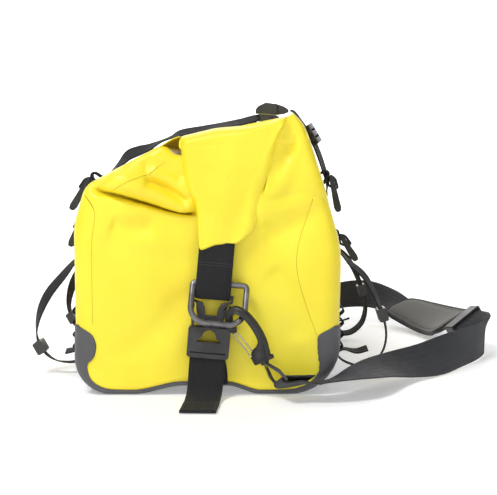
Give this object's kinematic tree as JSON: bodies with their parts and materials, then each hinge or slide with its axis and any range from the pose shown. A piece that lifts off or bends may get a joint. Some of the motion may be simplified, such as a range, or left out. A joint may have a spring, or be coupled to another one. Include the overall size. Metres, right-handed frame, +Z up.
{
  "type": "roll-top duffel dry bag",
  "caption": "Waterproof fabric duffel with a rolled closure, end buckles, metal rings, snap hooks, compression straps and a padded shoulder strap.",
  "frame": {"origin": "on the floor, under the middle of the bag's base", "axes": "+X is the bag's width towards the shoulder strap, +Y its length from the front end to the rear end, +Z up"},
  "size_m": [0.6347, 0.8284, 0.353],
  "materials": {
    "yellow_fabric": "satin coated, waterproof",
    "base_fabric": "satin coated, waterproof",
    "black_webbing": "woven webbing",
    "strap_webbing": "woven webbing",
    "pad_cloth": "knitted cover over foam",
    "buckle_plastic": "moulded",
    "tab_rubber": "moulded",
    "coated_ring": "smooth coated",
    "gate_steel": "drawn wire"
  },
  "bodies": {
    "bag": {"left_wall": "yellow_fabric", "right_wall": "yellow_fabric", "front_end_panel": "yellow_fabric", "rear_end_panel": "yellow_fabric", "rolled_closure": "yellow_fabric", "front_flap": "yellow_fabric", "rear_flap": "yellow_fabric", "base_tub": "base_fabric", "shoulder_strap_front": "strap_webbing", "shoulder_strap_rear": "strap_webbing", "shoulder_pad": "pad_cloth", "lip_stiffener": "buckle_plastic", "strap_slider": "buckle_plastic", "front_upper_webbing": "black_webbing", "front_lower_webbing": "black_webbing", "front_top_strap_left": "black_webbing", "front_top_strap_right": "black_webbing", "front_left_side_strap": "black_webbing", "front_right_side_strap": "black_webbing", "front_buckle_plug": "buckle_plastic", "front_buckle_socket": "buckle_plastic", "front_hook_bail": "buckle_plastic", "front_top_plug": "buckle_plastic", "front_top_socket": "buckle_plastic", "front_left_side_buckle": "buckle_plastic", "front_right_side_buckle": "buckle_plastic", "rear_upper_webbing": "black_webbing", "rear_lower_webbing": "black_webbing", "rear_top_strap_left": "black_webbing", "rear_top_strap_right": "black_webbing", "rear_left_side_strap": "black_webbing", "rear_right_side_strap": "black_webbing", "rear_buckle_plug": "buckle_plastic", "rear_buckle_socket": "buckle_plastic", "rear_hook_bail": "buckle_plastic", "rear_top_plug": "buckle_plastic", "rear_top_socket": "buckle_plastic", "rear_left_side_buckle": "buckle_plastic", "rear_right_side_buckle": "buckle_plastic", "front_left_daisy_chain": "black_webbing", "front_right_daisy_chain": "black_webbing"},
    "front_ring": {"front_ring": "coated_ring"},
    "front_hook": {"front_hook": "buckle_plastic"},
    "front_gate": {"front_hook_gate": "gate_steel"},
    "front_arm_left": {"front_plug_arm_left": "buckle_plastic"},
    "front_arm_right": {"front_plug_arm_right": "buckle_plastic"},
    "front_left_shoulder_tab": {"front_left_shoulder_tab": "tab_rubber"},
    "front_left_mid_tab": {"front_left_mid_tab": "tab_rubber"},
    "front_right_shoulder_tab": {"front_right_shoulder_tab": "tab_rubber"},
    "front_right_mid_tab": {"front_right_mid_tab": "tab_rubber"},
    "rear_ring": {"rear_ring": "coated_ring"},
    "rear_hook": {"rear_hook": "buckle_plastic"},
    "rear_gate": {"rear_hook_gate": "gate_steel"},
    "rear_arm_left": {"rear_plug_arm_left": "buckle_plastic"},
    "rear_arm_right": {"rear_plug_arm_right": "buckle_plastic"},
    "rear_left_shoulder_tab": {"rear_left_shoulder_tab": "tab_rubber"},
    "rear_left_mid_tab": {"rear_left_mid_tab": "tab_rubber"},
    "rear_right_shoulder_tab": {"rear_right_shoulder_tab": "tab_rubber"},
    "rear_right_mid_tab": {"rear_right_mid_tab": "tab_rubber"}
  },
  "joints": [
    {"name": "front_ring_tilt", "type": "hinge", "parent": "bag", "child": "front_ring", "pos_m": [0.01437, -0.3165, 0.13535], "axis": [-0.9962, 0, 0.0872], "range_deg": [0, 1.5]},
    {"name": "front_hook_swivel", "type": "hinge", "parent": "bag", "child": "front_hook", "pos_m": [0.06636, -0.33743, 0.04561], "axis": [-0.5098, 0.03, 0.8597], "range_deg": [-12, 0]},
    {"name": "front_gate_pivot", "type": "hinge", "parent": "front_hook", "child": "front_gate", "pos_m": [0.05321, -0.33246, 0.05218], "axis": [0.4433, 0.8656, 0.2327], "range_deg": [0, 20], "stiffness_Nm_per_rad": 0.02},
    {"name": "front_arm_left_squeeze", "type": "hinge", "parent": "bag", "child": "front_arm_left", "pos_m": [-0.01677, -0.3165, 0.11217], "axis": [0, -1, 0], "range_deg": [0, 6], "stiffness_Nm_per_rad": 0.05},
    {"name": "front_arm_right_squeeze", "type": "hinge", "parent": "bag", "child": "front_arm_right", "pos_m": [0.02607, -0.3165, 0.10842], "axis": [0, 1, 0], "range_deg": [0, 6], "stiffness_Nm_per_rad": 0.05},
    {"name": "front_left_shoulder_tab_swing", "type": "hinge", "parent": "bag", "child": "front_left_shoulder_tab", "pos_m": [-0.1545, -0.195, 0.2575], "axis": [0, 1, 0], "range_deg": [-5, 60]},
    {"name": "front_left_mid_tab_swing", "type": "hinge", "parent": "bag", "child": "front_left_mid_tab", "pos_m": [-0.164, -0.195, 0.208], "axis": [0, 1, 0], "range_deg": [-5, 60]},
    {"name": "front_right_shoulder_tab_swing", "type": "hinge", "parent": "bag", "child": "front_right_shoulder_tab", "pos_m": [0.153, -0.195, 0.26], "axis": [0, -1, 0], "range_deg": [-5, 60]},
    {"name": "front_right_mid_tab_swing", "type": "hinge", "parent": "bag", "child": "front_right_mid_tab", "pos_m": [0.1655, -0.195, 0.185], "axis": [0, -1, 0], "range_deg": [-5, 60]},
    {"name": "rear_ring_tilt", "type": "hinge", "parent": "bag", "child": "rear_ring", "pos_m": [0.01437, 0.3165, 0.13535], "axis": [0.9962, 0, -0.0872], "range_deg": [0, 1.5]},
    {"name": "rear_hook_swivel", "type": "hinge", "parent": "bag", "child": "rear_hook", "pos_m": [0.06636, 0.33743, 0.04561], "axis": [0.5098, 0.03, -0.8597], "range_deg": [-12, 0]},
    {"name": "rear_gate_pivot", "type": "hinge", "parent": "rear_hook", "child": "rear_gate", "pos_m": [0.05321, 0.33246, 0.05218], "axis": [-0.4433, 0.8656, -0.2327], "range_deg": [0, 20], "stiffness_Nm_per_rad": 0.02},
    {"name": "rear_arm_left_squeeze", "type": "hinge", "parent": "bag", "child": "rear_arm_left", "pos_m": [-0.01677, 0.3165, 0.11217], "axis": [0, -1, 0], "range_deg": [0, 6], "stiffness_Nm_per_rad": 0.05},
    {"name": "rear_arm_right_squeeze", "type": "hinge", "parent": "bag", "child": "rear_arm_right", "pos_m": [0.02607, 0.3165, 0.10842], "axis": [0, 1, 0], "range_deg": [0, 6], "stiffness_Nm_per_rad": 0.05},
    {"name": "rear_left_shoulder_tab_swing", "type": "hinge", "parent": "bag", "child": "rear_left_shoulder_tab", "pos_m": [-0.1545, 0.195, 0.2575], "axis": [0, 1, 0], "range_deg": [-5, 60]},
    {"name": "rear_left_mid_tab_swing", "type": "hinge", "parent": "bag", "child": "rear_left_mid_tab", "pos_m": [-0.164, 0.195, 0.208], "axis": [0, 1, 0], "range_deg": [-5, 60]},
    {"name": "rear_right_shoulder_tab_swing", "type": "hinge", "parent": "bag", "child": "rear_right_shoulder_tab", "pos_m": [0.153, 0.195, 0.26], "axis": [0, -1, 0], "range_deg": [-5, 60]},
    {"name": "rear_right_mid_tab_swing", "type": "hinge", "parent": "bag", "child": "rear_right_mid_tab", "pos_m": [0.1655, 0.195, 0.185], "axis": [0, -1, 0], "range_deg": [-5, 60]}
  ],
  "couplings": [
    {"joint": "front_arm_right_squeeze", "follows": "front_arm_left_squeeze", "ratio": 1},
    {"joint": "rear_arm_right_squeeze", "follows": "rear_arm_left_squeeze", "ratio": 1}
  ]
}
